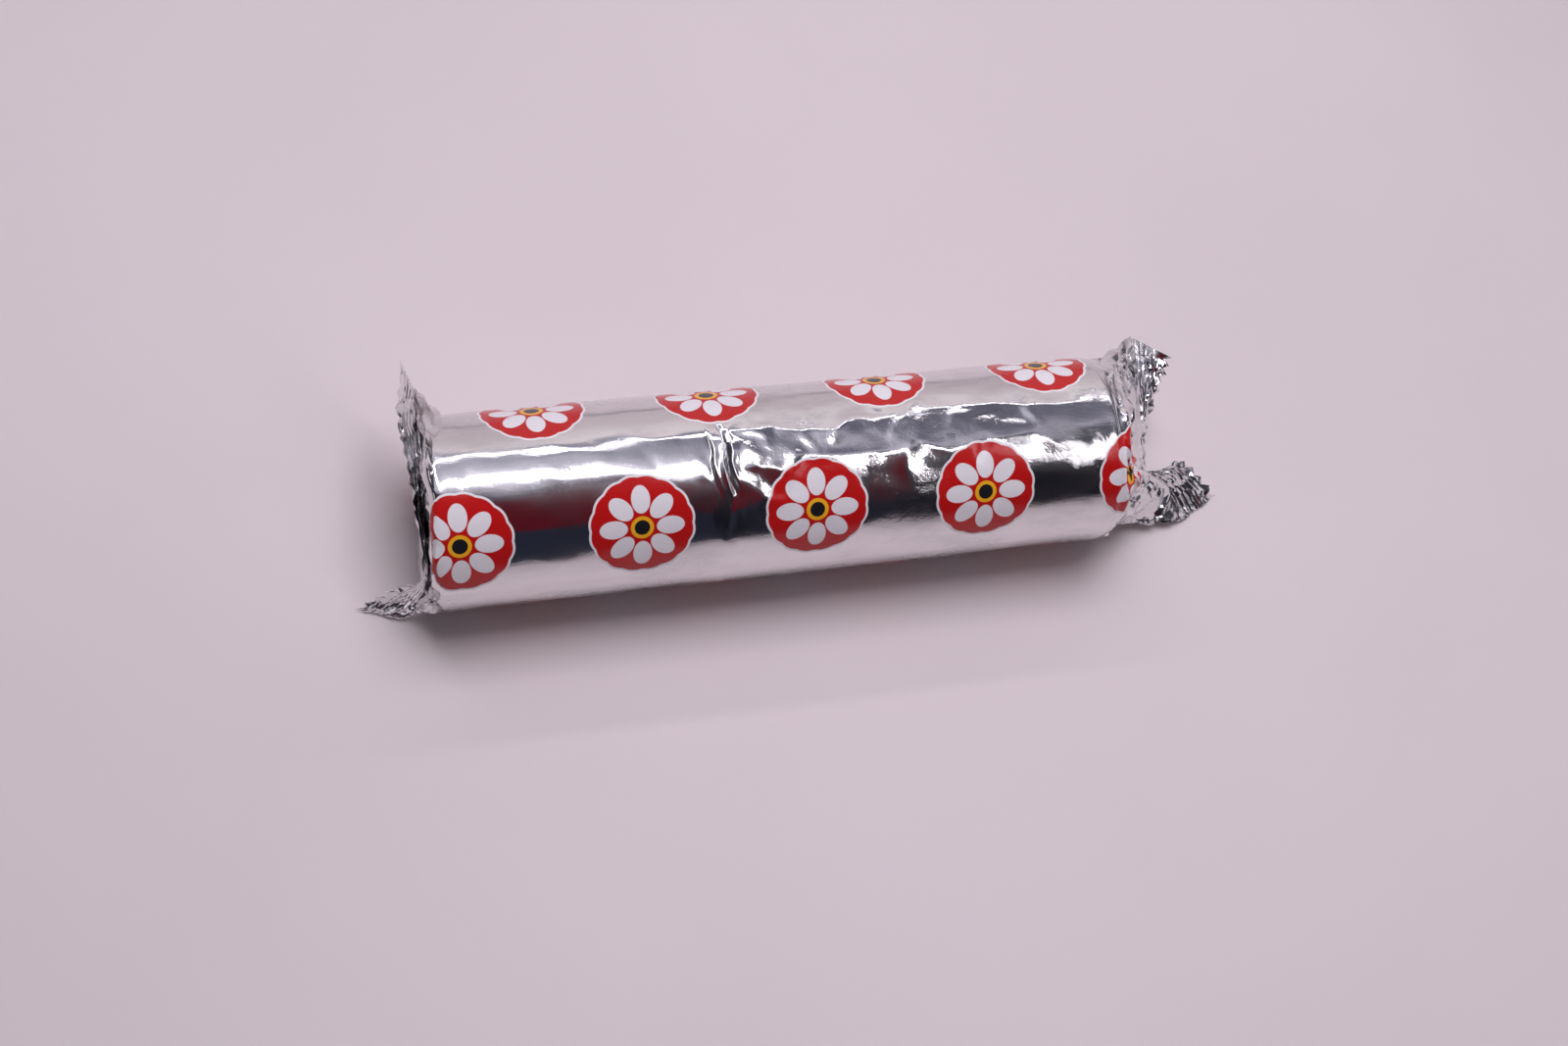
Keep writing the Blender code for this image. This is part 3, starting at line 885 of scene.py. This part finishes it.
def filmMaterial():
    material = newMaterial("printedFoil")
    n = Nodes(material.node_tree)
    f = foilFinish
    uv = n.add("ShaderNodeUVMap", uv_map="UVMap").outputs[0]
    split = n.add("ShaderNodeSeparateXYZ", {0: uv})
    u, v = split.outputs[0], split.outputs[1]
    ink, isPrint = printedDiscs(n, u, v)
    place = n.add("ShaderNodeTexCoord").outputs["Object"]
    longer = n.add("ShaderNodeMapping", {0: place, 3: (0.45, 1.0, 1.0)}).outputs[0]
    smudge = n.add("ShaderNodeTexNoise", {
        "Vector": longer, "Scale": f["smudgeScale"], "Detail": 5.0, "Roughness": 0.62,
    }).outputs[0]
    dulled = n.step(smudge, 0.42, 0.72)
    foil = n.mixColour(dulled, f["bright"], f["dulled"])
    colour = n.mixColour(isPrint, foil, ink)
    metal = n.rest(isPrint)
    roughness = n.spread(isPrint, n.spread(dulled, *f["roughness"]), f["inkRoughness"])
    # Bump: a fine peel all over, grains that press through, and grit where the film is dulled
    peel = n.add("ShaderNodeTexNoise", {"Vector": place, "Scale": f["peel"], "Detail": 2.0, "Roughness": 0.5})
    grainScale, grainSize, grainHeight = f["pimples"]
    grain = n.add("ShaderNodeTexVoronoi", {"Vector": place, "Scale": grainScale})
    pimple = n.product(n.rest(n.step(grain.outputs[0], 0.0, grainSize)), n.step(smudge, 0.42, 0.58))
    looser = n.spread(u, *f["looser"], start=-0.18, stop=-0.08)
    height = n.math("ADD", n.product(peel.outputs[0], looser), n.product(pimple, grainHeight))
    gritScale, gritHeight = f["grit"]
    grit = n.add("ShaderNodeTexNoise", {"Vector": place, "Scale": gritScale, "Detail": 1.0, "Roughness": 0.5})
    gritty = n.product(n.step(smudge, 0.38, 0.6), looser, gritHeight)
    height = n.math("ADD", height, n.product(grit.outputs[0], gritty))
    bump = n.add("ShaderNodeBump", {"Height": height, "Strength": 1.0, "Distance": f["bump"]})
    # Fine scratches spread the light of the bare foil a little, more where it has been rubbed
    haze = n.product(metal, n.spread(smudge, *f["haze"], start=0.35, stop=0.65))
    shader = n.add("ShaderNodeBsdfPrincipled", {
        "Base Color": colour, "Metallic": metal, "Roughness": roughness, "Normal": bump.outputs[0],
        "Coat Weight": haze, "Coat Roughness": f["hazeRoughness"], "Coat IOR": f["hazeIndex"],
    })
    n.add("ShaderNodeOutputMaterial", {0: shader.outputs[0]})
    return material


charcoalFinish = {
    "dark": (0.012, 0.012, 0.012, 1),
    "pale": (0.035, 0.034, 0.033, 1),
    "grainScale": 1400.0,
    "patchScale": 160.0,
    "bump": 0.0002,  # metres
    "roughness": (0.75, 0.98),
}


def charcoalMaterial():
    material = newMaterial("pressedCharcoalGrain")
    n = Nodes(material.node_tree)
    c = charcoalFinish
    place = n.add("ShaderNodeTexCoord").outputs["Object"]
    grain = n.add("ShaderNodeTexNoise", {
        "Vector": place, "Scale": c["grainScale"], "Detail": 6.0, "Roughness": 0.7,
    }).outputs[0]
    patches = n.add("ShaderNodeTexNoise", {"Vector": place, "Scale": c["patchScale"], "Detail": 3.0})
    colour = n.mixColour(n.step(patches.outputs[0], 0.35, 0.7), c["dark"], c["pale"])
    bump = n.add("ShaderNodeBump", {"Height": grain, "Strength": 0.6, "Distance": c["bump"]})
    rough = n.spread(grain, *c["roughness"])
    shader = n.add("ShaderNodeBsdfPrincipled", {
        "Base Color": colour, "Roughness": rough, "Normal": bump.outputs[0],
    })
    n.add("ShaderNodeOutputMaterial", {0: shader.outputs[0]})
    return material


tableFinish = {
    "colours": ((0.675, 0.60, 0.612, 1), (0.705, 0.628, 0.645, 1)),
    "cloudScale": 6.0,
    "roughness": 0.55,
    "size": 6,  # metres
}


def tableMaterial():
    material = newMaterial("paleTable")
    n = Nodes(material.node_tree)
    place = n.add("ShaderNodeTexCoord").outputs["Object"]
    cloud = n.add("ShaderNodeTexNoise", {"Vector": place, "Scale": tableFinish["cloudScale"], "Detail": 4.0})
    colour = n.mixColour(n.step(cloud.outputs[0], 0.3, 0.7), *tableFinish["colours"])
    shader = n.add("ShaderNodeBsdfPrincipled", {"Base Color": colour, "Roughness": tableFinish["roughness"]})
    n.add("ShaderNodeOutputMaterial", {0: shader.outputs[0]})
    return material


def makeTable():
    deselectAll()
    bpy.ops.mesh.primitive_plane_add(size=tableFinish["size"])
    table = bpy.context.object
    table.name = "tableTop"
    table.data.materials.append(tableMaterial())


photoView = {
    "lens": 30,
    "sensor": 22.3,
    "place": (-0.1096, -0.1797, 0.4246),
    "right": (0.9653, -0.19, 0.1794),
    "up": (0.1027, 0.9071, 0.4083),
    "back": (-0.2403, -0.3757, 0.8951),
}


def makeCamera():
    data = bpy.data.cameras.new("photoCamera")
    data.sensor_width = photoView["sensor"]
    data.lens = photoView["lens"]
    data.clip_start = 0.01
    camera = bpy.data.objects.new("photoCamera", data)
    bpy.context.scene.collection.objects.link(camera)
    turn = Matrix([photoView[axis] for axis in ("right", "up", "back")]).transposed().to_4x4()
    camera.matrix_world = Matrix.Translation(photoView["place"]) @ turn
    bpy.context.scene.camera = camera


# Middle, length, width, turn about Z in degrees, power. One with no turn leans towards the roll
lamps = {
    "backStrip": ((0.10, 0.66, 0.83), 1.8, 0.045, 0.0, 1.6),
    "nearStrip": ((0.19, -0.10, 0.80), 1.6, 0.045, -50.5, 2.0),
    "overhead": ((0.06, 0.12, 0.82), 0.42, 0.42, 0.0, 4.4),
}
lampColour = (0.97, 0.93, 1.0)


def makeLamps():
    for name, (place, length, width, turn, power) in lamps.items():
        data = bpy.data.lights.new(name, "AREA")
        data.shape = "RECTANGLE"
        data.size, data.size_y, data.energy = length, width, power
        data.color = lampColour
        lamp = bpy.data.objects.new(name, data)
        lamp.visible_glossy = name != "overhead"  # the film mirrors only the strips
        bpy.context.scene.collection.objects.link(lamp)
        lean = 0 if turn else -math.atan2(place[1], place[2])
        facing = Matrix.Rotation(math.radians(turn), 3, "Z") @ Matrix.Rotation(lean, 3, "X")
        lamp.matrix_world = Matrix.Translation(place) @ facing.to_4x4()


# What the film mirrors: colours from 0, the horizon behind the roll, over 0.5, overhead, to 1, in front
room = {
    "left": (
        (0.0, (0.56, 0.48, 0.52)), (0.10, (0.60, 0.52, 0.56)), (0.225, (0.80, 0.73, 0.76)),
        (0.245, (0.16, 0.16, 0.23)), (0.28, (0.16, 0.16, 0.24)), (0.36, (0.46, 0.45, 0.54)),
        (0.47, (0.58, 0.56, 0.66)), (0.56, (0.07, 0.06, 0.085)), (0.60, (0.085, 0.004, 0.010)),
        (0.79, (0.085, 0.004, 0.010)), (0.805, (0.016, 0.019, 0.034)), (1.0, (0.016, 0.019, 0.034)),
    ),
    "right": (
        (0.0, (0.56, 0.48, 0.52)), (0.10, (0.60, 0.52, 0.56)), (0.225, (0.80, 0.73, 0.76)),
        (0.245, (0.18, 0.17, 0.23)), (0.30, (0.05, 0.05, 0.08)), (0.40, (0.15, 0.145, 0.20)),
        (0.46, (0.42, 0.40, 0.48)), (0.52, (0.07, 0.07, 0.10)), (0.60, (0.035, 0.035, 0.05)),
        (0.72, (0.006, 0.0065, 0.010)), (1.0, (0.005, 0.005, 0.009)),
    ),
    "change": (0.12, 0.3),  # how far to the right the left colours turn into the right ones
    "middle": 0.12,
    "sides": (0.42, 0.62),  # how far from the middle the dark sides begin
    "sideColour": (0.03, 0.03, 0.037, 1),
    "glowColour": (0.75, 0.70, 0.78, 1),
    "glow": (0.24, 0.30, 0.42, 0.50),  # heights at which a glow in the sides rises and fades
    "onTable": 0.25,  # share of the room's light that falls on what isn't mirror-bright
}


def makeRoom():
    world = bpy.data.worlds.new("softRoom")
    bpy.context.scene.world = world
    world.use_nodes = True
    world.node_tree.nodes.clear()
    n = Nodes(world.node_tree)
    way = n.add("ShaderNodeTexCoord").outputs["Generated"]
    x, y, z = n.add("ShaderNodeSeparateXYZ", {0: way}).outputs
    angle = n.math("DIVIDE", n.math("ARCTAN2", z, y), math.pi)
    ramps = []
    for side in ("left", "right"):
        ramp = n.add("ShaderNodeValToRGB", {0: angle})
        elements = ramp.color_ramp.elements
        while len(elements) > 1:
            elements.remove(elements[0])
        for i, (place, colour) in enumerate(room[side]):
            stop = elements[0] if i == 0 else elements.new(place)
            stop.position = place
            stop.color = (*colour, 1)
        ramps.append(ramp.outputs[0])
    colour = n.mixColour(n.step(x, *room["change"]), *ramps)
    rise, risen, sink, sunk = room["glow"]
    glow = n.product(n.step(z, rise, risen), n.rest(n.step(z, sink, sunk)))
    sides = n.mixColour(glow, room["sideColour"], room["glowColour"])
    toSides = n.step(n.math("ABSOLUTE", n.math("SUBTRACT", x, room["middle"])), *room["sides"])
    colour = n.mixColour(toSides, colour, sides)
    diffuse = n.add("ShaderNodeLightPath").outputs["Is Diffuse Ray"]
    strength = n.spread(diffuse, 1.0, room["onTable"])
    background = n.add("ShaderNodeBackground", {0: colour, 1: strength})
    n.add("ShaderNodeOutputWorld", {0: background.outputs[0]})


makeCamera()
makeTable()
makeLamps()
makeRoom()
bpy.context.scene.view_settings.view_transform = "Standard"
print("camera, table and lights are in")

wrapper = buildFilm()
wrapper.data.materials.append(filmMaterial())
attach(wrapper, "root")
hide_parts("wrapper")
print("film is rolled:", len(wrapper.data.polygons), "faces")

charcoal = charcoalMaterial()
for name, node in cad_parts.items():
    if name.startswith("tablet"):
        for slot in node.material_slots:
            slot.material = charcoal
print("tablets have their finish")
